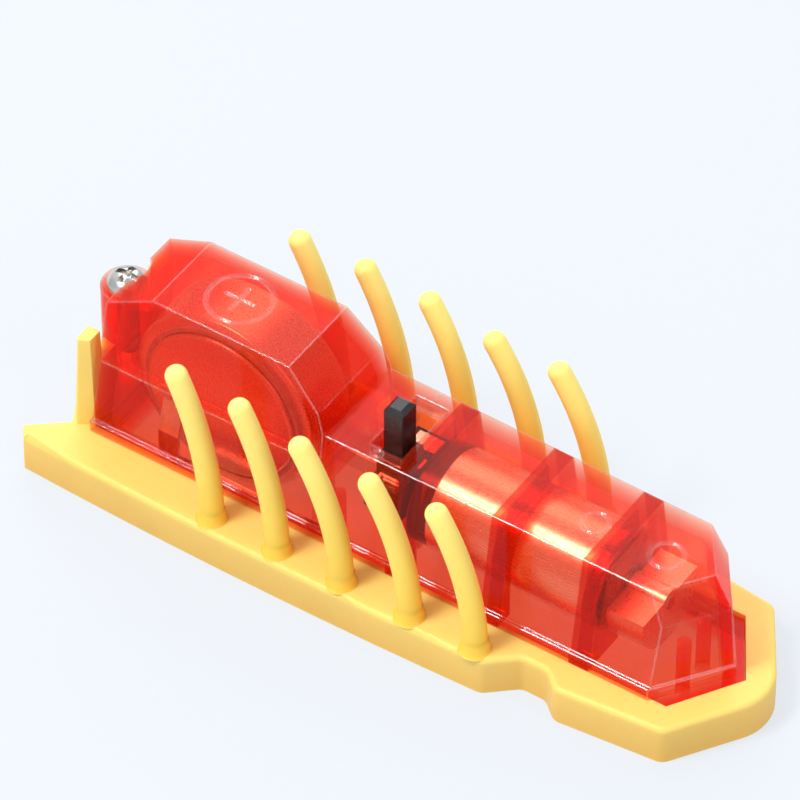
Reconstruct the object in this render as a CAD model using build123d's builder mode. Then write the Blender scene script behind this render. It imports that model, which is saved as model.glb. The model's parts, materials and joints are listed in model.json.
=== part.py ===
"""Pocket bristle bug: a clear shell on a rubber skirt with ten legs, lying on its back.

Millimetres. +X points to the nose, +Y to the bug's left leg row, +Z up, away from the rubber's flat face.
The origin is on the surface that the toy lies on, under the middle of its length.
Stations are distances along X from the tail tips; at() turns a station into X.
"""
import os
from math import atan2, degrees, radians, sin, tan

from build123d import *

os.makedirs("parts", exist_ok=True)

# ---------------------------------------------------------------- driving dimensions
LENGTH = 44.4             # tail tips to nose
SKIRT_H = 2.5             # rubber slab
SKIRT_HALF = 7.1          # half width over the leg rows
SOFT_EDGE = 0.3           # rounding of the rubber's upper edges
TAIL_WALL_Z = 8.7         # top of the two rubber posts behind the shell
TAIL_DIP_Z = 6.6          # top of the wall between them
OPEN_HALF = 3.95          # half width of the opening in the rubber
OPEN_CORNER = 40.5        # stations of the opening's nose corners and tip
OPEN_TIP = 43.0
LEDGE = 0.65              # how far the plate's edge reaches under the rubber
RING_HALF = 5.55          # half width of the rubber at the nose corners
RING_ROUND = 0.8
NOSE_ANGLE = 56.5         # degrees between the nose's sides and the middle line
NOSE_ROUND = 3.0

LEG_STATIONS = (12.7, 17.0, 21.2, 25.6, 29.8)
LEG_RISE = (10.3, 10.1, 9.6, 9.3, 9.4)   # height of each tip over the slab
LEG_LEAN = {"left": (2.5, 2.7, 2.9, 2.9, 2.9),     # how far each tip leans to the tail
            "right": (2.1, 2.3, 2.5, 2.5, 2.5)}
LEG_SPLAY = {"left": (0.5, 2.5, 4.5, 2.5, 2.0),    # degrees that each leg leans outward
             "right": (0.0, 0.0, 1.0, 0.5, 0.0)}
LEG_Y = 6.05              # distance of the leg roots from the middle
LEG_R = 0.7               # radius at the root
LEG_TIP_R = 0.64
SOCKET_GAP = 0.04         # running clearance round a leg's ball root

WALL = 0.75               # clear shell
SIDE_DRAFT = 9.0          # degrees, shell sides
COVER_DRAFT = 8.0         # degrees, battery cover sides
NOSE_DRAFT = 3.0          # degrees, the two nose faces
BEVEL_DRAFT = 24.0        # degrees, the bevel over the nose faces
BEVEL_Z = 7.4             # foot of that bevel
REAR = 3.4                # station of the shell's rear face, at its base
REAR_LEAN = 0.04          # how far that face leans forward per mm of height
SHELL_HALF_REAR = 4.3     # half width at the base, rear
SHELL_HALF_NOSE = 4.05    # half width at the base, nose corners
NOSE_CORNER = 39.4        # station of the nose corners
NOSE_TIP = 42.3           # station of the nose tip
FOOT_H = 0.8              # thicker foot round the shell's base
FOOT_OUT = 0.12
DECK_Z = 9.4              # flat belly
PART_Z = 7.3              # seam between shell and battery cover
PART_X = 18.15            # station where the cover ends and the deck starts
GAP = 0.04                # between the cover and the shell
HUMP_Z = 12.9             # top of the battery cover
COVER_WALL = 0.6

CELL_R = 5.8              # 11.6 mm button cell, 4.2 mm thick
CELL_T = 4.2
CELL_X = 10.5             # station of the cell's centre
CELL_Z = 6.4

SCREW_X = 3.0             # station of the cover screw
SCREW_HEAD_R = 1.12
SCREW_R = 0.6
SCREW_TURN_GAP = 0.03     # clearance that stands for the thread
SCREW_POINT_Z = 4.6
SEAT_Z = 9.9              # where the screw head sits
BOSS_R = 1.5

SLOT_X = 21.5             # station of the switch slot
SLOT_W = 2.0
SLOT_HALF = 2.2
LEVER_X = 1.2
LEVER_Y = 1.3
LEVER_TOP = 11.9
LEVER_TRAVEL = 1.8
SWITCH_Z = 5.0            # underside of the switch's base

MOTOR_R = 3.0             # 6 x 12 mm coreless motor
MOTOR_REAR = 23.3         # station of its rear end
MOTOR_L = 12.0
MOTOR_Z = 5.6
SHAFT_R = 0.4
BEARING_R = 0.9
WEIGHT_R = 2.7
WEIGHT_L = 2.3
RIB_T = 1.2
RIBS = (23.4, 29.4, 35.1)  # stations of the cross ribs' middles
BEYOND = 10               # longer than any piece is thick: for cuts right through


def at(station):
    """X of a station measured from the tail tips."""
    return station - LENGTH / 2


def draft_in(height, angle):
    """How far a drafted wall has moved inward after this height."""
    return height * tan(radians(angle))


def rear_at(z):
    """Station of the leaning rear face at this height."""
    return REAR + REAR_LEAN * (z - SKIRT_H)


def shell_half(station, z=SKIRT_H):
    """Half width of the shell's outer face."""
    along = (station - REAR) / (NOSE_CORNER - REAR)
    base = SHELL_HALF_REAR + (SHELL_HALF_NOSE - SHELL_HALF_REAR) * along
    return base - draft_in(z - SKIRT_H, SIDE_DRAFT)


def half_to_nose(rear, half_rear, corner, half_corner, tip):
    """Straight-sided outline with a pointed nose, as a closed list of points."""
    right = [(at(rear), -half_rear), (at(corner), -half_corner)]
    return right + [(at(tip), 0)] + [(x, -y) for x, y in reversed(right)]


def finish(builder, name):
    """Label a finished piece and write its STEP file."""
    builder.part.label = name
    export_step(builder.part, f"parts/{name}.step")


# ---------------------------------------------------------------- rubber skirt
NOSE_POINT = LENGTH + NOSE_ROUND * (1 / sin(radians(NOSE_ANGLE)) - 1)
RING_CORNER = NOSE_POINT - RING_HALF / tan(radians(NOSE_ANGLE))
TAIL_SIDE = (at(0.6), 6.8)
WING_END = (at(30.6), 6.75)
WALL_OUTLINE = [(at(REAR), 3.9), (at(2.5), 4.4), (at(2.1), 4.0)]
with BuildPart() as rubber_skirt:
    with BuildSketch() as slab_outline:
        with BuildLine():
            Polyline((at(0.85), 0), (at(0.85), 2.0), (at(2.1), 4.3), (at(0), 6.0), TAIL_SIDE)
            ThreePointArc(TAIL_SIDE, (at(17.0), SKIRT_HALF), WING_END)
            Polyline(WING_END, (at(32.3), 5.25), (at(33.8), 5.25), (at(34.9), 6.2),
                     (at(RING_CORNER), RING_HALF), (at(NOSE_POINT), 0))
            mirror(about=Plane.XZ)
        make_face()
        fillet(slab_outline.vertices().sort_by(Axis.X)[-1], NOSE_ROUND)
        fillet(slab_outline.vertices().filter_by(lambda v: abs(v.X - at(RING_CORNER)) < 0.1), RING_ROUND)
        fillet(slab_outline.vertices().filter_by(lambda v: at(30) < v.X < at(35)), RING_ROUND)
    extrude(amount=SKIRT_H)
    fillet(rubber_skirt.faces().sort_by(Axis.Z)[-1].edges(), SOFT_EDGE)
    with BuildSketch(Plane.XY.offset(SKIRT_H - SOFT_EDGE)):
        with BuildLine():
            Polyline(*WALL_OUTLINE, *[(x, -y) for x, y in reversed(WALL_OUTLINE)], close=True)
        make_face()
    extrude(amount=TAIL_WALL_Z - SKIRT_H + SOFT_EDGE, taper=2.5)
    with BuildSketch():
        with BuildLine():
            Polyline(*half_to_nose(REAR, OPEN_HALF, OPEN_CORNER, OPEN_HALF, OPEN_TIP), close=True)
        make_face()
    extrude(amount=SKIRT_H, mode=Mode.SUBTRACT)
    with BuildSketch():
        with BuildLine():
            Polyline(*half_to_nose(REAR, OPEN_HALF, OPEN_CORNER, OPEN_HALF, OPEN_TIP), close=True)
        make_face()
        offset(amount=LEDGE, kind=Kind.INTERSECTION)
    extrude(amount=0.6, mode=Mode.SUBTRACT)
    with BuildSketch(Plane.XY.offset(SKIRT_H)):
        with Locations((at(REAR) + 2, 0)):
            Rectangle(4, 12)
        with Locations((at(SCREW_X), 0)):
            Circle(BOSS_R + 0.02)
    extrude(amount=TAIL_WALL_Z, mode=Mode.SUBTRACT)
    with BuildSketch(Plane.XY.offset(TAIL_DIP_Z)):
        with Locations((at(REAR), 0)):
            Rectangle(6, 5.6)
    extrude(amount=BEYOND, mode=Mode.SUBTRACT)
    with Locations(*[(at(s), side * LEG_Y, SKIRT_H) for s in LEG_STATIONS for side in (1, -1)]):
        Sphere(LEG_R + SOCKET_GAP, mode=Mode.SUBTRACT)
finish(rubber_skirt, "rubber_skirt")

# ---------------------------------------------------------------- legs
for index, (station, rise) in enumerate(zip(LEG_STATIONS, LEG_RISE)):
    for side_name, side in (("left", 1), ("right", -1)):
        swing = 2 * degrees(atan2(LEG_LEAN[side_name][index], rise - LEG_TIP_R))
        bend_r = (rise - LEG_TIP_R) / sin(radians(swing))
        splay = -side * LEG_SPLAY[side_name][index]
        root = Plane(origin=(at(station), side * LEG_Y, SKIRT_H)).rotated((splay, 0, 0))
        with BuildPart() as leg:
            with BuildLine(Plane(origin=root.origin, x_dir=root.x_dir, z_dir=-root.y_dir)) as centre_line:
                CenterArc((-bend_r, 0), bend_r, 0, swing)
            spine = centre_line.line
            with BuildSketch(root):
                Circle(LEG_R)
            tip_plane = Plane(origin=spine @ 1, z_dir=spine % 1)
            with BuildSketch(tip_plane):
                Circle(LEG_TIP_R)
            sweep(path=spine, multisection=True)
            with Locations(root):
                Sphere(LEG_R, arc_size1=-90, arc_size2=0, align=Align.NONE)
            with Locations(tip_plane):
                Sphere(LEG_TIP_R, arc_size1=0, arc_size2=90, align=Align.NONE)
        finish(leg, f"leg_{side_name}_{index + 1}")

# ---------------------------------------------------------------- back plate
PLATE_LOW = 0.1
PLATE_TOP = 0.55
PLATE_RIM_TOP = 2.2
PLATE_FIT = 0.05          # clearance round the plate's rim
RIM_T = 0.85
PEGS = ((39.7, 1.0), (39.7, -1.0), (18.4, 2.2), (18.4, -2.2))
RIM_OUTLINE = half_to_nose(REAR + PLATE_FIT, OPEN_HALF - PLATE_FIT, OPEN_CORNER - PLATE_FIT,
                           OPEN_HALF - PLATE_FIT, OPEN_TIP - 2 * PLATE_FIT)
POCKET_HALF = OPEN_HALF - PLATE_FIT - RIM_T
with BuildPart() as back_plate:
    with BuildSketch(Plane.XY.offset(PLATE_LOW)):
        with BuildLine():
            Polyline(*RIM_OUTLINE, close=True)
        make_face()
    extrude(amount=PLATE_RIM_TOP - PLATE_LOW)
    with BuildSketch(Plane.XY.offset(PLATE_TOP)):
        with BuildLine():
            Polyline(*half_to_nose(REAR + PLATE_FIT + RIM_T, POCKET_HALF, OPEN_CORNER - 0.9, POCKET_HALF,
                                   OPEN_TIP - 1.4), close=True)
        make_face()
    extrude(amount=BEYOND, mode=Mode.SUBTRACT)
    with BuildSketch(Plane.XY.offset(PLATE_LOW)):
        with BuildLine():
            Polyline(*RIM_OUTLINE, close=True)
        make_face()
        offset(amount=LEDGE - PLATE_FIT, kind=Kind.INTERSECTION)
    extrude(amount=PLATE_TOP - PLATE_LOW)
    with BuildSketch(Plane.XY.offset(PLATE_TOP)):
        with Locations(*[(at(station), y) for station, y in PEGS]):
            Circle(0.4)
    extrude(amount=3.9)
finish(back_plate, "back_plate")

# ---------------------------------------------------------------- body shell
MOULD_MARK_D = 0.1
MOTOR_FIT = 0.02
WIRE_HALF = 2.2           # half width of the channel under the ribs for the wires
# sine of the angle between a nose face and the middle line
NOSE_SIN = sin(atan2(SHELL_HALF_NOSE, NOSE_TIP - NOSE_CORNER))


def nose_outline(tip):
    """Outline with the shell's nose faces and sides far outside it, as a closed list of points."""
    run = (NOSE_TIP - NOSE_CORNER) / SHELL_HALF_NOSE
    return half_to_nose(REAR - BEYOND, BEYOND, tip - BEYOND * run, BEYOND, tip)


def shell_form(inset):
    """The shell's closed outer form, or with an inset its hollow, as a solid."""
    behind = REAR - 2
    past_nose = NOSE_TIP + 2
    half_behind = shell_half(behind) - inset
    half_past = shell_half(past_nose) - inset
    foot_tip = NOSE_TIP - inset / NOSE_SIN
    bevel_tip = foot_tip - draft_in(BEVEL_Z - SKIRT_H, NOSE_DRAFT) / NOSE_SIN
    with BuildPart() as nose_form:
        with BuildSketch(Plane.XY.offset(SKIRT_H)):
            with BuildLine():
                Polyline(*nose_outline(foot_tip), close=True)
            make_face()
        extrude(amount=BEVEL_Z - SKIRT_H, taper=NOSE_DRAFT)
        with BuildSketch(Plane.XY.offset(BEVEL_Z)):
            with BuildLine():
                Polyline(*nose_outline(bevel_tip), close=True)
            make_face()
        extrude(amount=DECK_Z - inset - BEVEL_Z, taper=BEVEL_DRAFT)
    with BuildPart() as form:
        with BuildSketch(Plane.XY.offset(SKIRT_H)):
            with BuildLine():
                Polyline((at(behind), -half_behind), (at(past_nose), -half_past), (at(past_nose), half_past),
                         (at(behind), half_behind), close=True)
            make_face()
        extrude(amount=DECK_Z - inset - SKIRT_H, taper=SIDE_DRAFT)
        add(nose_form.part, mode=Mode.INTERSECT)
        with BuildSketch(Plane.XZ):
            with BuildLine():
                Polyline((at(REAR + inset), SKIRT_H), (at(past_nose), SKIRT_H), (at(past_nose), DECK_Z),
                         (at(rear_at(DECK_Z) + inset), DECK_Z), close=True)
            make_face()
        extrude(amount=BEYOND, both=True, mode=Mode.INTERSECT)
    return form.part


def wall_section(station):
    """Cross-section that fills the shell from side to side at a station, as a list of points."""
    high = DECK_Z - WALL / 2
    low_half = shell_half(station) - WALL / 2
    high_half = shell_half(station, high) - WALL / 2
    return [(low_half, SKIRT_H), (high_half, high), (-high_half, high), (-low_half, SKIRT_H)]


outer_form = shell_form(0)
inner_form = shell_form(WALL)
with BuildPart() as body_shell:
    add(outer_form)
    add(inner_form, mode=Mode.SUBTRACT)
    for start, thickness in [(rib - RIB_T / 2, RIB_T) for rib in RIBS] + [(PART_X, -WALL)]:
        with BuildSketch(Plane.YZ.offset(at(start))):
            with BuildLine():
                Polyline(*wall_section(start), close=True)
            make_face()
        extrude(amount=thickness)
    with BuildSketch(Plane.XY.offset(SKIRT_H)):
        with BuildLine():
            Polyline(*half_to_nose(REAR, SHELL_HALF_REAR + FOOT_OUT, NOSE_CORNER + 0.05,
                                   SHELL_HALF_NOSE + FOOT_OUT, NOSE_TIP + FOOT_OUT), close=True)
        make_face()
        offset(amount=-WALL - FOOT_OUT, kind=Kind.INTERSECTION, mode=Mode.SUBTRACT)
    extrude(amount=FOOT_H)
    with BuildSketch(Plane.XY.offset(SKIRT_H)):
        with Locations((at(SCREW_X), 0)):
            Circle(BOSS_R)
    extrude(amount=PART_Z - SKIRT_H)
    with BuildSketch(Plane.XY.offset(PART_Z)):
        with Locations((at(0), 0)):
            Rectangle(2 * PART_X, 12)
    extrude(amount=BEYOND, mode=Mode.SUBTRACT)
    with BuildSketch(Plane.XY.offset(SKIRT_H + 1)):
        with Locations((at(SCREW_X), 0)):
            Circle(SCREW_R + SCREW_TURN_GAP)
    extrude(amount=BEYOND, mode=Mode.SUBTRACT)
    with BuildSketch(Plane.XY.offset(DECK_Z - 2)):
        with Locations((at(SLOT_X), 0)):
            Rectangle(SLOT_W, 2 * SLOT_HALF)
    extrude(amount=BEYOND, mode=Mode.SUBTRACT)
    with BuildSketch(Plane.YZ.offset(at(MOTOR_REAR))):
        with Locations((0, MOTOR_Z)):
            Circle(MOTOR_R + MOTOR_FIT)
        with Locations((0, SKIRT_H)):
            Rectangle(2 * (MOTOR_R + MOTOR_FIT), 2 * (MOTOR_Z - SKIRT_H))
    extrude(amount=MOTOR_L, mode=Mode.SUBTRACT)
    with BuildSketch(Plane.YZ.offset(at(MOTOR_REAR + MOTOR_L))):
        with Locations((0, MOTOR_Z)):
            Circle(BEARING_R + 0.3)
        with Locations((0, SKIRT_H)):
            Rectangle(2 * (BEARING_R + 0.3), 2 * (MOTOR_Z - SKIRT_H))
    extrude(amount=1, mode=Mode.SUBTRACT)
    with BuildSketch(Plane.YZ.offset(at(PART_X - 1))):
        with Locations((0, SKIRT_H)):
            Rectangle(2 * WIRE_HALF, 6)
    extrude(amount=MOTOR_REAR - PART_X + 1, mode=Mode.SUBTRACT)
    with BuildSketch(Plane.XY.offset(DECK_Z - MOULD_MARK_D)):
        for mark_x, mark_y, mark_r in ((38.0, -0.3, 1.0), (33.6, -0.4, 0.8), (SLOT_X - 0.3, -2.65, 0.3)):
            with Locations((at(mark_x), mark_y)):
                Circle(mark_r)
                Circle(mark_r - 0.12, mode=Mode.SUBTRACT)
        with Locations((at(SLOT_X), 2.65)):
            Rectangle(0.14, 0.6)
    extrude(amount=1, mode=Mode.SUBTRACT)
finish(body_shell, "body_shell")

# ---------------------------------------------------------------- battery cover
COVER_LOW = PART_Z + GAP
COVER_END = PART_X - GAP
HALF_COVER = shell_half(REAR, PART_Z)
HUMP_PROFILE = ((rear_at(COVER_LOW), COVER_LOW), (COVER_END, COVER_LOW), (COVER_END, DECK_Z + 0.1),
                (17.7, 10.7), (15.6, HUMP_Z), (6.7, HUMP_Z), (rear_at(11.4), 11.4))
MARK_R = 1.9              # polarity mark on the cover: a ring with a plus
MARK_LINE = 0.14


def hump_profile(inset):
    """Side profile of the hump, drawn in by a wall's thickness, as a list of points."""
    middle = (COVER_END + REAR) / 2
    points = []
    for station, z in HUMP_PROFILE:
        shift = inset if station < middle else -inset
        points.append((at(station + shift), z if z == COVER_LOW else z - inset))
    return points


def hump_form(inset):
    """The hump's outer form, or with an inset its hollow, as a solid."""
    with BuildPart() as form:
        with BuildSketch(Plane.XY.offset(COVER_LOW)):
            with Locations((at(COVER_END / 2), 0)):
                Rectangle(COVER_END + 6, 2 * (HALF_COVER - inset))
        extrude(amount=HUMP_Z - COVER_LOW + 1, taper=COVER_DRAFT)
        with BuildSketch(Plane.XZ):
            with BuildLine():
                Polyline(*hump_profile(inset), close=True)
            make_face()
        extrude(amount=BEYOND, both=True, mode=Mode.INTERSECT)
    return form.part


hump_outside = hump_form(0)
hump_inside = hump_form(COVER_WALL)
with BuildPart() as battery_cover:
    add(hump_outside)
    add(hump_inside, mode=Mode.SUBTRACT)
    with BuildSketch(Plane.XY.offset(COVER_LOW)):
        with Locations((at(SCREW_X), 0)):
            Circle(BOSS_R)
    extrude(amount=SEAT_Z - COVER_LOW)
    with BuildSketch(Plane.XY.offset(SEAT_Z)):
        with Locations((at(SCREW_X), 0)):
            Circle(SCREW_HEAD_R + 0.25)
        with Locations((at(SCREW_X) - 2, 0)):
            Rectangle(4, 2 * (SCREW_HEAD_R + 0.25))
    extrude(amount=BEYOND, mode=Mode.SUBTRACT)
    with BuildSketch(Plane.XY.offset(COVER_LOW)):
        with Locations((at(SCREW_X), 0)):
            Circle(SCREW_R + SCREW_TURN_GAP)
    extrude(amount=BEYOND, mode=Mode.SUBTRACT)
    with BuildSketch(Plane.XY.offset(HUMP_Z - MOULD_MARK_D)):
        with Locations((at(CELL_X), 0)):
            Circle(MARK_R)
            Circle(MARK_R - MARK_LINE, mode=Mode.SUBTRACT)
            Rectangle(MARK_R, MARK_LINE)
            Rectangle(MARK_LINE, MARK_R)
    extrude(amount=1, mode=Mode.SUBTRACT)
finish(battery_cover, "battery_cover")

# ---------------------------------------------------------------- cover screw
HEAD_EDGE_Z = SEAT_Z + 0.3
HEAD_TOP_Z = SEAT_Z + 0.85
CROSS_L = 1.3
CROSS_W = 0.26
SCREW_AXIS = Plane(origin=(at(SCREW_X), 0, 0))
SCREW_SIDE = Plane(origin=SCREW_AXIS.origin, x_dir=(1, 0, 0), z_dir=(0, -1, 0))
with BuildPart() as cover_screw:
    with BuildSketch(SCREW_SIDE):
        with BuildLine():
            Line((0, SCREW_POINT_Z), (0, HEAD_TOP_Z))
            ThreePointArc((0, HEAD_TOP_Z), (0.7, HEAD_TOP_Z - 0.13), (SCREW_HEAD_R, HEAD_EDGE_Z))
            Polyline((SCREW_HEAD_R, HEAD_EDGE_Z), (SCREW_HEAD_R, SEAT_Z), (SCREW_R, SEAT_Z),
                     (SCREW_R, SCREW_POINT_Z + SCREW_R), (0, SCREW_POINT_Z))
        make_face()
    revolve(axis=Axis(SCREW_AXIS.origin, (0, 0, 1)))
    with BuildSketch(SCREW_AXIS.offset(SEAT_Z + 0.45)):
        Rectangle(CROSS_L, CROSS_W)
        Rectangle(CROSS_W, CROSS_L)
    extrude(amount=1, taper=-8, mode=Mode.SUBTRACT)
finish(cover_screw, "cover_screw")

# ---------------------------------------------------------------- button cell
CAP_R = 4.8               # negative cap
CAP_H = 0.45
SEAL_R = 5.1
CELL_PLANE = Plane(origin=(at(CELL_X), -CELL_T / 2, CELL_Z), x_dir=(1, 0, 0), z_dir=(0, 1, 0))
with BuildPart() as cell_can:
    with BuildSketch(CELL_PLANE.offset(CAP_H)):
        Circle(CELL_R)
    extrude(amount=CELL_T - CAP_H)
    fillet(cell_can.edges(), 0.25)
finish(cell_can, "cell_can")

with BuildPart() as cell_gasket:
    with BuildSketch(CELL_PLANE.offset(0.25)):
        Circle(SEAL_R)
        Circle(CAP_R + 0.05, mode=Mode.SUBTRACT)
    extrude(amount=0.2)
finish(cell_gasket, "cell_gasket")

with BuildPart() as cell_cap:
    with BuildSketch(CELL_PLANE):
        Circle(CAP_R)
    extrude(amount=CAP_H)
    fillet(cell_cap.faces().sort_by(Axis.Y)[0].edges(), 0.2)
finish(cell_cap, "cell_cap")

# ---------------------------------------------------------------- battery contacts
STRIP_T = 0.2
BLADE_W = 1.3
STRIP_Y = 2.85
STRIP_LOW = 0.7
STRIP_END = 19.5
TOUCH_Y = CELL_T / 2 + 0.14
for name, side, station in (("contact_negative", -1, 7.6), ("contact_positive", 1, 13.4)):
    with BuildPart() as contact:
        with BuildSketch(Plane.YZ.offset(at(station) - BLADE_W / 2)):
            with BuildLine():
                Polyline((side * STRIP_Y, STRIP_LOW), (side * STRIP_Y, 3.4), (side * TOUCH_Y, 5.4),
                         (side * 2.6, 6.6))
                offset(amount=STRIP_T / 2, kind=Kind.INTERSECTION)
            make_face()
        extrude(amount=BLADE_W)
        with BuildSketch(Plane.XY.offset(STRIP_LOW)):
            with Locations((at((station + STRIP_END) / 2), side * STRIP_Y)):
                Rectangle(STRIP_END - station, STRIP_T)
        extrude(amount=1.2)
    finish(contact, name)

# ---------------------------------------------------------------- slide switch
LEVER_REST = -LEVER_TRAVEL / 2
LEVER_LOW = 7.2
BASE_H = 1.6
PAD_T = 0.2
CENTRED_ABOVE = (Align.CENTER, Align.CENTER, Align.MIN)
with BuildPart() as switch_lever:
    with Locations((at(SLOT_X), LEVER_REST, LEVER_LOW)):
        Box(1.7, 2.0, 1.2, align=CENTRED_ABOVE)
        Box(LEVER_X, LEVER_Y, LEVER_TOP - LEVER_LOW, align=CENTRED_ABOVE)
    chamfer(switch_lever.faces().sort_by(Axis.Z)[-1].edges(), 0.25)
finish(switch_lever, "switch_lever")

with BuildPart() as switch_base:
    with Locations((at(SLOT_X), 0, SWITCH_Z)):
        Box(2.4, 5.2, BASE_H, align=CENTRED_ABOVE)
finish(switch_base, "switch_base")

with BuildPart() as switch_pads:
    with Locations(*[(at(SLOT_X), y, SWITCH_Z + BASE_H) for y in (-1.7, 0, 1.7)]):
        Box(1.6, 1.1, PAD_T, align=CENTRED_ABOVE)
finish(switch_pads, "switch_pads")

with BuildPart() as switch_wiper:
    with Locations((at(SLOT_X), LEVER_REST, SWITCH_Z + BASE_H + PAD_T + 0.05)):
        Box(1.0, 1.8, 0.35, align=CENTRED_ABOVE)
finish(switch_wiper, "switch_wiper")

# ---------------------------------------------------------------- motor
MOTOR_PLANE = Plane(origin=(at(MOTOR_REAR), 0, MOTOR_Z), x_dir=(0, 1, 0), z_dir=(1, 0, 0))
END_CAP_L = 1.2
CAN_WALL = 0.25
FRONT_T = 0.3             # the can's front wall
COIL_START = 2.2
COIL_WALL = 0.35
COIL_R = 2.4
with BuildPart() as motor_can:
    with BuildSketch(MOTOR_PLANE.offset(END_CAP_L)):
        Circle(MOTOR_R)
    extrude(amount=MOTOR_L - END_CAP_L)
    fillet(motor_can.faces().sort_by(Axis.X)[-1].edges(), 0.3)
    with BuildSketch(MOTOR_PLANE.offset(END_CAP_L)):
        Circle(MOTOR_R - CAN_WALL)
    extrude(amount=MOTOR_L - END_CAP_L - FRONT_T, mode=Mode.SUBTRACT)
    with BuildSketch(MOTOR_PLANE):
        Circle(BEARING_R)
    extrude(amount=MOTOR_L, mode=Mode.SUBTRACT)
finish(motor_can, "motor_can")

with BuildPart() as motor_end_cap:
    with BuildSketch(MOTOR_PLANE):
        Circle(MOTOR_R - 0.05)
    extrude(amount=END_CAP_L)
    with BuildSketch(MOTOR_PLANE.offset(END_CAP_L / 2)):
        Circle(SHAFT_R + 0.05)
    extrude(amount=END_CAP_L, mode=Mode.SUBTRACT)
finish(motor_end_cap, "motor_end_cap")

with BuildPart() as motor_bearing:
    with BuildSketch(MOTOR_PLANE.offset(MOTOR_L - 1.4)):
        Circle(BEARING_R)
        Circle(SHAFT_R + 0.03, mode=Mode.SUBTRACT)
    extrude(amount=1.6)
finish(motor_bearing, "motor_bearing")

with BuildPart() as motor_magnet:
    with BuildSketch(MOTOR_PLANE.offset(3.4)):
        Circle(1.7)
        Circle(BEARING_R, mode=Mode.SUBTRACT)
    extrude(amount=MOTOR_L - FRONT_T - 3.4)
finish(motor_magnet, "motor_magnet")

with BuildPart() as motor_coil:
    with BuildSketch(MOTOR_PLANE.offset(COIL_START)):
        Circle(COIL_R)
        Circle(SHAFT_R, mode=Mode.SUBTRACT)
    extrude(amount=MOTOR_L - COIL_START - 1)
    with BuildSketch(MOTOR_PLANE.offset(COIL_START + 0.7)):
        Circle(COIL_R - COIL_WALL)
    extrude(amount=MOTOR_L, mode=Mode.SUBTRACT)
finish(motor_coil, "motor_coil")

with BuildPart() as motor_shaft:
    with BuildSketch(MOTOR_PLANE.offset(0.7)):
        Circle(SHAFT_R)
    extrude(amount=MOTOR_L + 2.2)
finish(motor_shaft, "motor_shaft")

with BuildPart() as eccentric_weight:
    with BuildSketch(MOTOR_PLANE.offset(MOTOR_L + 0.55)):
        Circle(WEIGHT_R)
        with Locations((0, 1.9)):
            Rectangle(6, 2.8, mode=Mode.SUBTRACT)
        Circle(0.85)
        Circle(SHAFT_R, mode=Mode.SUBTRACT)
    extrude(amount=WEIGHT_L)
finish(eccentric_weight, "eccentric_weight")

with BuildPart() as motor_terminals:
    with Locations(*[(at(MOTOR_REAR) - 0.1, y, MOTOR_Z - 0.7) for y in (-1.2, 1.2)]):
        Box(0.2, 0.8, 2.6, align=(Align.MAX, Align.CENTER, Align.MAX))
finish(motor_terminals, "motor_terminals")
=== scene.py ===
"""Looks for the pocket bristle bug: clear red shell, yellow rubber, metal and black parts inside.

Blender 4.5. Metres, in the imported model's own frame: +X nose, +Y left leg row, +Z up from the
surface it lies on.
"""

import json
import math

import bmesh
import bpy
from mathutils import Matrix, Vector


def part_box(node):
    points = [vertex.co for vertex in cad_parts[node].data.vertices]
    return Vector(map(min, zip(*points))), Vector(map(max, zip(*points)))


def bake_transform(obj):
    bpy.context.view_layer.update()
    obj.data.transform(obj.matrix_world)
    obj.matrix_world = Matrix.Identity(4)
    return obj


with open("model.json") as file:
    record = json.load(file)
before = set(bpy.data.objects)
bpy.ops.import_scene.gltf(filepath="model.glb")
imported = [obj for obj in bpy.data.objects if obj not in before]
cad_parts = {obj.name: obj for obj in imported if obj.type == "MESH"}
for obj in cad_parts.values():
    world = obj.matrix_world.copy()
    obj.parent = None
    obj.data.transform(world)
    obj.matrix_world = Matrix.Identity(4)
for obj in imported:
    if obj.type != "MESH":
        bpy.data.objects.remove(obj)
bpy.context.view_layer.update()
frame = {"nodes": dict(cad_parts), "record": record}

MM = 0.001
BEVEL_SAMPLES = 6
NOISE_LOW = 0.3    # most of a noise texture's values lie between these
NOISE_HIGH = 0.7


# ---------------------------------------------------------------- material helpers
def new_material(name):
    """An empty node material with a Principled shader on it: (material, nodes, links, shader, output)."""
    mat = bpy.data.materials.new(name)
    mat.use_nodes = True
    nodes = mat.node_tree.nodes
    nodes.clear()
    output = nodes.new("ShaderNodeOutputMaterial")
    shader = nodes.new("ShaderNodeBsdfPrincipled")
    mat.node_tree.links.new(shader.outputs["BSDF"], output.inputs["Surface"])
    return mat, nodes, mat.node_tree.links, shader, output


def noise(nodes, links, scale, detail=3.0, stretch=(1, 1, 1)):
    """Noise fixed to the piece, with features 1/scale metres across; stretch squeezes it along an axis."""
    coords = nodes.new("ShaderNodeTexCoord")
    mapping = nodes.new("ShaderNodeMapping")
    mapping.inputs["Scale"].default_value = stretch
    links.new(coords.outputs["Object"], mapping.inputs["Vector"])
    texture = nodes.new("ShaderNodeTexNoise")
    texture.inputs["Scale"].default_value = scale
    texture.inputs["Detail"].default_value = detail
    links.new(mapping.outputs["Vector"], texture.inputs["Vector"])
    return texture.outputs["Fac"]


def ramp(nodes, links, factor, stops):
    """A colour ramp driven by factor, with stops of (position, colour)."""
    node = nodes.new("ShaderNodeValToRGB")
    band = node.color_ramp
    while len(band.elements) < len(stops):
        band.elements.new(0.5)
    for element, (position, colour) in zip(band.elements, stops):
        element.position = position
        element.color = (*colour, 1) if len(colour) == 3 else colour
    links.new(factor, node.inputs["Fac"])
    return node.outputs["Color"]


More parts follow.
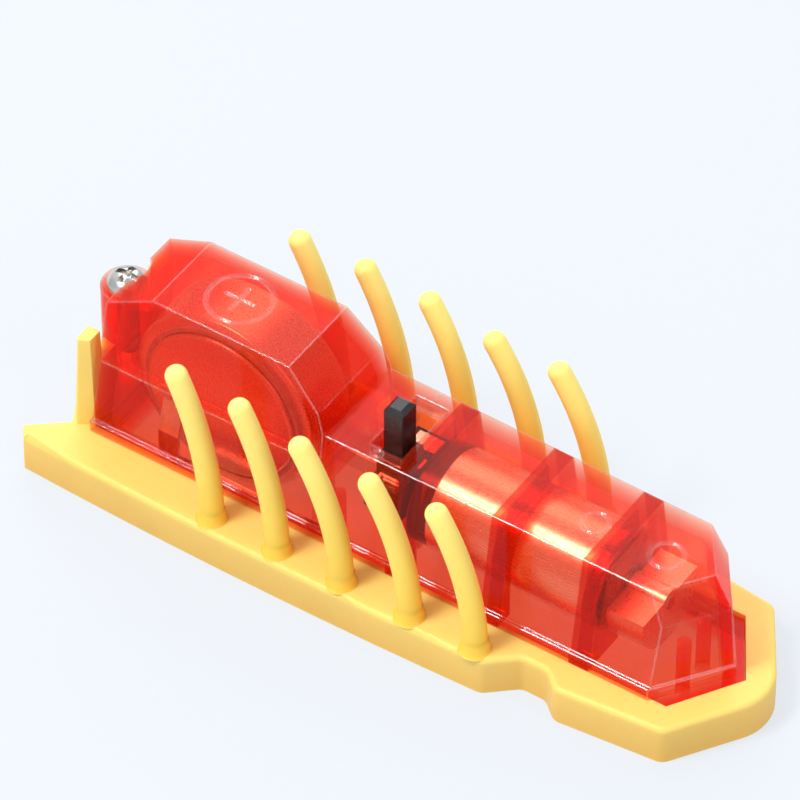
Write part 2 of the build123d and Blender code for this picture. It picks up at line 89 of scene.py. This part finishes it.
def spread(nodes, links, factor, low, high):
    """Maps factor from NOISE_LOW..NOISE_HIGH to low..high and holds it beyond, for noise and facing angles."""
    node = nodes.new("ShaderNodeMapRange")
    node.inputs["From Min"].default_value = NOISE_LOW
    node.inputs["From Max"].default_value = NOISE_HIGH
    node.inputs["To Min"].default_value = low
    node.inputs["To Max"].default_value = high
    links.new(factor, node.inputs["Value"])
    return node.outputs["Result"]


def bump(nodes, links, height, shader, depth_mm, edge_mm=0.0):
    """Bumps the shader's normal by a height field, over edges rounded to edge_mm."""
    node = nodes.new("ShaderNodeBump")
    node.inputs["Distance"].default_value = depth_mm * MM
    node.inputs["Strength"].default_value = 1.0
    links.new(height, node.inputs["Height"])
    if edge_mm:
        rounded = nodes.new("ShaderNodeBevel")
        rounded.samples = BEVEL_SAMPLES
        rounded.inputs["Radius"].default_value = edge_mm * MM
        links.new(rounded.outputs["Normal"], node.inputs["Normal"])
    links.new(node.outputs["Normal"], shader.inputs["Normal"])


def height_above(nodes, links, low_mm, high_mm):
    """0 at low_mm and 1 at high_mm above the surface that the toy lies on."""
    coords = nodes.new("ShaderNodeTexCoord")
    split = nodes.new("ShaderNodeSeparateXYZ")
    links.new(coords.outputs["Object"], split.inputs["Vector"])
    node = nodes.new("ShaderNodeMapRange")
    node.inputs["From Min"].default_value = low_mm * MM
    node.inputs["From Max"].default_value = high_mm * MM
    links.new(split.outputs["Z"], node.inputs["Value"])
    return node.outputs["Result"]


# ---------------------------------------------------------------- materials
RIB_X = (1.2 * MM, 7.2 * MM, 12.9 * MM)   # middles of the shell's cross ribs
RIB_HALF = 0.55 * MM
RIB_FADE = 0.12 * MM
CLEAR_PASS = (1.0, 0.91, 0.80)            # share of each colour that one clear surface lets through
RIB_PASS = (0.84, 0.16, 0.07)
CLEAR_BODY = (0.97, 0.065, 0.012)
CLEAR_DEPTH_TINT = (1.0, 0.18, 0.08)
COVER_DENSITY = 1500                      # how fast the tint deepens with thickness, per metre
SHELL_DENSITY = 820
EDGE_ROUND = 0.16 * MM
EDGE_SHINE = 0.22                         # how much more a rounded edge mirrors
EDGE_START = 0.999                        # cosines between the flat and the rounded normal
EDGE_FULL = 0.96


def maths(nodes, links, operation, first, second=None):
    """A Math node; second is a socket or a number."""
    node = nodes.new("ShaderNodeMath")
    node.operation = operation
    links.new(first, node.inputs[0])
    if isinstance(second, (int, float)):
        node.inputs[1].default_value = second
    elif second is not None:
        links.new(second, node.inputs[1])
    return node


def mixed(nodes, links, factor, first, second):
    """Mixes two shaders by a socket that is 0 for the first and 1 for the second."""
    node = nodes.new("ShaderNodeMixShader")
    links.new(factor, node.inputs["Fac"])
    links.new(first.outputs["BSDF" if "BSDF" in first.outputs else "Shader"], node.inputs[1])
    links.new(second.outputs["BSDF"], node.inputs[2])
    return node


def rib_bands(nodes, links):
    """1 in a band across the shell at each cross rib, 0 between them."""
    coords = nodes.new("ShaderNodeTexCoord")
    split = nodes.new("ShaderNodeSeparateXYZ")
    links.new(coords.outputs["Object"], split.inputs["Vector"])
    total = None
    for rib in RIB_X:
        away = maths(nodes, links, "SUBTRACT", split.outputs["X"], rib)
        size = maths(nodes, links, "ABSOLUTE", away.outputs[0])
        band = nodes.new("ShaderNodeMapRange")
        band.interpolation_type = "SMOOTHSTEP"
        links.new(size.outputs[0], band.inputs["Value"])
        band.inputs["From Min"].default_value = RIB_HALF
        band.inputs["From Max"].default_value = RIB_HALF + RIB_FADE
        band.inputs["To Min"].default_value = 1.0
        band.inputs["To Max"].default_value = 0.0
        strip = band.outputs["Result"]
        total = strip if total is None else maths(nodes, links, "ADD", total, strip).outputs[0]
    return total


def edge_shine(nodes, links, rounded):
    """EDGE_SHINE where rounding turns the normal, 0 on flat faces."""
    flat = nodes.new("ShaderNodeNewGeometry")
    turn = nodes.new("ShaderNodeVectorMath")
    turn.operation = "DOT_PRODUCT"
    links.new(rounded.outputs["Normal"], turn.inputs[0])
    links.new(flat.outputs["Normal"], turn.inputs[1])
    edge = nodes.new("ShaderNodeMapRange")
    links.new(turn.outputs["Value"], edge.inputs["Value"])
    edge.inputs["From Min"].default_value = EDGE_START
    edge.inputs["From Max"].default_value = EDGE_FULL
    edge.inputs["To Min"].default_value = 0.0
    edge.inputs["To Max"].default_value = EDGE_SHINE
    return edge.outputs["Result"]


def clear_red(name, ribbed, density):
    """Tinted see-through polystyrene that lets lamps through. It doesn't bend light.

    Depth darkens it through an absorbing volume. ribbed adds deep red bands at the cross ribs, which are
    colour only: in the CAD the motor's pocket cuts the ribs away above the motor.
    """
    mat, nodes, links, shader, output = new_material(name)
    shader.inputs["Base Color"].default_value = (*CLEAR_BODY, 1)
    smudge = noise(nodes, links, 260, 4)
    links.new(spread(nodes, links, smudge, 0.06, 0.14), shader.inputs["Roughness"])
    flow = noise(nodes, links, 420, 2, (0.35, 1, 1))
    bump(nodes, links, flow, shader, 0.015)

    clear = nodes.new("ShaderNodeBsdfTransparent")
    if ribbed:
        stops = ((0.0, CLEAR_PASS), (1.0, RIB_PASS))
        links.new(ramp(nodes, links, rib_bands(nodes, links), stops), clear.inputs["Color"])
    else:
        clear.inputs["Color"].default_value = (*CLEAR_PASS, 1)
    angle = nodes.new("ShaderNodeLayerWeight")
    angle.inputs["Blend"].default_value = 0.3
    body = mixed(nodes, links, spread(nodes, links, angle.outputs["Facing"], 0.09, 0.60), clear, shader)

    rounded = nodes.new("ShaderNodeBevel")
    rounded.samples = BEVEL_SAMPLES
    rounded.inputs["Radius"].default_value = EDGE_ROUND
    polish = nodes.new("ShaderNodeBsdfGlossy")
    polish.inputs["Roughness"].default_value = 0.07
    links.new(rounded.outputs["Normal"], polish.inputs["Normal"])
    mirror = nodes.new("ShaderNodeLayerWeight")
    mirror.inputs["Blend"].default_value = 0.13
    links.new(rounded.outputs["Normal"], mirror.inputs["Normal"])
    gloss = spread(nodes, links, mirror.outputs["Facing"], 0.012, 0.75)
    shine = maths(nodes, links, "ADD", gloss, edge_shine(nodes, links, rounded))
    shine.use_clamp = True
    whole = mixed(nodes, links, shine.outputs[0], body, polish)

    tint = nodes.new("ShaderNodeVolumeAbsorption")
    tint.inputs["Color"].default_value = (*CLEAR_DEPTH_TINT, 1)
    tint.inputs["Density"].default_value = density
    links.new(whole.outputs["Shader"], output.inputs["Surface"])
    links.new(tint.outputs["Volume"], output.inputs["Volume"])
    return mat


def rubber(name, stops, low_mm, high_mm):
    """Soft satin rubber that lets some light through; its colour runs through stops from low_mm to high_mm,
    which paints light and shade by height.
    """
    mat, nodes, links, shader, _ = new_material(name)
    colour = ramp(nodes, links, height_above(nodes, links, low_mm, high_mm), stops)
    cloud = ramp(nodes, links, noise(nodes, links, 180, 4), ((0.3, (0.93, 0.91, 0.86)), (0.7, (1, 1, 1))))
    mix = nodes.new("ShaderNodeMix")
    mix.data_type = "RGBA"
    mix.blend_type = "MULTIPLY"
    mix.inputs["Factor"].default_value = 1.0
    links.new(colour, mix.inputs["A"])
    links.new(cloud, mix.inputs["B"])
    links.new(mix.outputs["Result"], shader.inputs["Base Color"])
    shader.inputs["Subsurface Weight"].default_value = 0.35
    shader.inputs["Subsurface Radius"].default_value = (1.0, 0.55, 0.15)
    shader.inputs["Subsurface Scale"].default_value = 0.9 * MM
    shader.inputs["IOR"].default_value = 1.42
    skin = noise(nodes, links, 2600, 3)
    links.new(spread(nodes, links, skin, 0.42, 0.6), shader.inputs["Roughness"])
    bump(nodes, links, skin, shader, 0.012)
    return mat


def metal(name, colour, rough, grain_scale, stretch, dark=0.82, depth=0.0015):
    """Plated or drawn metal with fine grain, drawn out by stretch and darkened by dark on its low side."""
    mat, nodes, links, shader, _ = new_material(name)
    grain = noise(nodes, links, grain_scale, 5, stretch)
    shade = ramp(nodes, links, grain, ((0.3, tuple(c * dark for c in colour)), (0.65, colour)))
    links.new(shade, shader.inputs["Base Color"])
    shader.inputs["Metallic"].default_value = 1.0
    links.new(spread(nodes, links, grain, rough * 0.8, rough * 1.35), shader.inputs["Roughness"])
    bump(nodes, links, grain, shader, depth)
    return mat


def black_plastic():
    """Glossy moulded black with faint flow marks."""
    mat, nodes, links, shader, _ = new_material("black_plastic")
    cloud = noise(nodes, links, 900, 4)
    shade = ramp(nodes, links, cloud, ((0.3, (0.004, 0.004, 0.005)), (0.7, (0.014, 0.013, 0.014))))
    links.new(shade, shader.inputs["Base Color"])
    links.new(spread(nodes, links, cloud, 0.14, 0.3), shader.inputs["Roughness"])
    bump(nodes, links, cloud, shader, 0.02, 0.08)
    return mat


def nylon():
    """Greyish translucent seal."""
    mat, nodes, links, shader, _ = new_material("seal_nylon")
    cloud = noise(nodes, links, 1500, 3)
    shade = ramp(nodes, links, cloud, ((0.3, (0.42, 0.40, 0.37)), (0.7, (0.55, 0.53, 0.5))))
    links.new(shade, shader.inputs["Base Color"])
    links.new(spread(nodes, links, cloud, 0.35, 0.5), shader.inputs["Roughness"])
    bump(nodes, links, cloud, shader, 0.01)
    return mat


# Painted shade: the skirt's side wall is darker orange low down and lighter on top, as light falls on it.
SKIRT_PAINTED_SHADE = ((0.0, (0.80, 0.47, 0.10)), (0.75, (0.85, 0.56, 0.13)), (1.0, (0.90, 0.68, 0.17)))
# Painted light: the legs are orange at the root for red light passing through the shell and paler at the tip
# for light through the thin rubber.
LEG_PAINTED_LIGHT = ((0.0, (0.95, 0.58, 0.06)), (0.35, (0.94, 0.68, 0.11)), (1.0, (0.94, 0.81, 0.24)))
ALONG_X = (0.15, 1, 1)
ALL_WAYS = (1, 1, 1)
leg_rubber = rubber("yellow_rubber_legs", LEG_PAINTED_LIGHT, 2.5, 12.8)
MATERIALS = {
    "clear_red": clear_red("clear_red", False, COVER_DENSITY),
    "yellow_rubber": rubber("yellow_rubber", SKIRT_PAINTED_SHADE, 0.0, 2.6),
    "plated_steel": metal("plated_steel", (0.72, 0.70, 0.66), 0.2, 1500, ALL_WAYS, 0.7),
    "cell_steel": metal("cell_steel", (0.86, 0.85, 0.83), 0.28, 12000, ALL_WAYS, 0.96, 0.0002),
    "contact_metal": metal("contact_metal", (0.88, 0.86, 0.80), 0.24, 1800, (1, 1, 0.1)),
    "motor_steel": metal("motor_steel", (0.90, 0.89, 0.87), 0.26, 16000, ALONG_X, 0.96, 0.0001),
    "black_plastic": black_plastic(),
    "seal_nylon": nylon(),
    "brass": metal("brass", (0.75, 0.55, 0.22), 0.3, 2000, ALL_WAYS),
    "dark_magnet": metal("dark_magnet", (0.10, 0.10, 0.11), 0.5, 3000, ALL_WAYS),
    "coil_copper": metal("coil_copper", (0.62, 0.25, 0.10), 0.35, 5000, (1, 0.1, 0.1)),
    "tungsten": metal("tungsten", (0.86, 0.85, 0.83), 0.3, 4600, ALL_WAYS, 0.95, 0.0003),
}

ribbed_red = clear_red("clear_red_ribbed", True, SHELL_DENSITY)
slot_of = {row["node"]: row["material_slot"] for row in frame["record"]["subparts"]}
for name, node in frame["nodes"].items():
    looks = MATERIALS[slot_of[name]]
    if name.startswith("leg_"):
        looks = leg_rubber
    elif name == "body_shell":
        looks = ribbed_red
    node.data.materials.clear()
    node.data.materials.append(looks)


# ---------------------------------------------------------------- leg roots
ROOT_RINGS = 7
ROOT_SIDES = 40
FLARE_R = 0.98 * MM       # where the fillet meets the skirt
FLARE_TOP = 0.8 * MM      # how far it climbs the leg
FLARE_SINK = 0.05 * MM    # it starts just inside the rubber
SKIRT_TOP = 2.5 * MM
LEG_Y = 6.05 * MM
LEG_R = 0.7 * MM


def leg_root(name, node):
    """The rubber fillet between the skirt and a leg: it hides the ball root."""
    low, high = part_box(node)
    centre = Vector((high.x - LEG_R, LEG_Y if low.y > 0 else -LEG_Y, SKIRT_TOP))
    mesh = bpy.data.meshes.new(name)
    bm = bmesh.new()
    rings = []
    for i in range(ROOT_RINGS):
        t = i / (ROOT_RINGS - 1)
        quarter = t * math.pi / 2
        r = FLARE_R - (FLARE_R - LEG_R) * math.sin(quarter)
        z = centre.z - FLARE_SINK + (FLARE_TOP + FLARE_SINK) * (1 - math.cos(quarter))
        ring = []
        for k in range(ROOT_SIDES):
            turn = 2 * math.pi * k / ROOT_SIDES
            ring.append(bm.verts.new((centre.x + r * math.cos(turn), centre.y + r * math.sin(turn), z)))
        rings.append(ring)
    for lower, upper in zip(rings, rings[1:]):
        for k in range(ROOT_SIDES):
            n = (k + 1) % ROOT_SIDES
            bm.faces.new((lower[k], lower[n], upper[n], upper[k]))
    for face in bm.faces:
        face.smooth = True
    bm.to_mesh(mesh)
    bm.free()
    piece = bpy.data.objects.new(name, mesh)
    bpy.context.scene.collection.objects.link(piece)
    mesh.materials.append(leg_rubber)
    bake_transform(piece)


for side in ("left", "right"):
    for number in range(1, 6):
        leg = f"leg_{side}_{number}"
        leg_root(f"root_of_{leg}", leg)

# ---------------------------------------------------------------- floor, light, camera
FLOOR_HALF = 1.5
FLOOR_COLOUR = (0.896, 0.939, 1.0)
FLOOR_DROP = 0.02 * MM    # it lies this far below the toy
FLOOR_GLOW = 0.865
FLOOR_GLOW_SHARE = 0.82   # the rest of the floor takes light and shadow


def floor_material():
    """Pale, almost shadowless paper."""
    mat, nodes, links, shader, output = new_material("pale_floor")
    shader.inputs["Base Color"].default_value = (*FLOOR_COLOUR, 1)
    shader.inputs["Roughness"].default_value = 0.9
    shader.inputs["Specular IOR Level"].default_value = 0.0
    glow = nodes.new("ShaderNodeEmission")
    glow.inputs["Color"].default_value = (*FLOOR_COLOUR, 1)
    glow.inputs["Strength"].default_value = FLOOR_GLOW
    mix = nodes.new("ShaderNodeMixShader")
    mix.inputs["Fac"].default_value = FLOOR_GLOW_SHARE
    links.new(shader.outputs["BSDF"], mix.inputs[1])
    links.new(glow.outputs["Emission"], mix.inputs[2])
    links.new(mix.outputs["Shader"], output.inputs["Surface"])
    return mat


floor_mesh = bpy.data.meshes.new("floor")
corners = [(x * FLOOR_HALF, y * FLOOR_HALF, -FLOOR_DROP) for x, y in ((-1, -1), (1, -1), (1, 1), (-1, 1))]
floor_mesh.from_pydata(corners, [], [(0, 1, 2, 3)])
floor = bpy.data.objects.new("floor", floor_mesh)
bpy.context.scene.collection.objects.link(floor)
floor_mesh.materials.append(floor_material())

world = bpy.data.worlds.new("studio")
world.use_nodes = True
world.node_tree.nodes["Background"].inputs["Color"].default_value = (*FLOOR_COLOUR, 1)
world.node_tree.nodes["Background"].inputs["Strength"].default_value = 0.8
bpy.context.scene.world = world


def direction(azimuth, elevation):
    """Unit vector from the toy towards a light or camera; azimuth 0 is -Y, elevation is above the floor."""
    a, e = math.radians(azimuth), math.radians(elevation)
    return Vector((math.sin(a) * math.cos(e), -math.cos(a) * math.cos(e), math.sin(e)))


def soft_box(name, azimuth, elevation, distance, size, watts):
    """A square area light that faces the toy."""
    data = bpy.data.lights.new(name, "AREA")
    data.size = size
    data.energy = watts
    lamp = bpy.data.objects.new(name, data)
    lamp.location = direction(azimuth, elevation) * distance
    lamp.rotation_euler = (-lamp.location).to_track_quat("-Z", "Y").to_euler()
    bpy.context.scene.collection.objects.link(lamp)


# azimuth and elevation in degrees, distance and size in metres, then watts
soft_box("key", -35, 60, 0.5, 0.14, 1.8)
soft_box("back_panel", 214, 42, 0.5, 0.42, 1.1)
soft_box("fill", 80, 35, 0.5, 0.3, 0.3)

CAMERA_AZIMUTH = 34.05
CAMERA_ELEVATION = 45.36
CAMERA_DISTANCE = 400 * MM
AIM = Vector((-4.68, 4.98, 5.0)) * MM
camera_data = bpy.data.cameras.new("camera")
camera_data.lens = 330.4
camera_data.sensor_width = 36
camera_data.clip_start = 0.01
camera_data.clip_end = 10
camera = bpy.data.objects.new("camera", camera_data)
back = direction(CAMERA_AZIMUTH, CAMERA_ELEVATION)
camera.location = AIM + back * CAMERA_DISTANCE
camera.rotation_euler = (-back).to_track_quat("-Z", "Y").to_euler()
bpy.context.scene.collection.objects.link(camera)
bpy.context.scene.camera = camera

bpy.context.scene.view_settings.view_transform = "Standard"
bpy.context.scene.cycles.max_bounces = 20
bpy.context.scene.cycles.transparent_max_bounces = 40
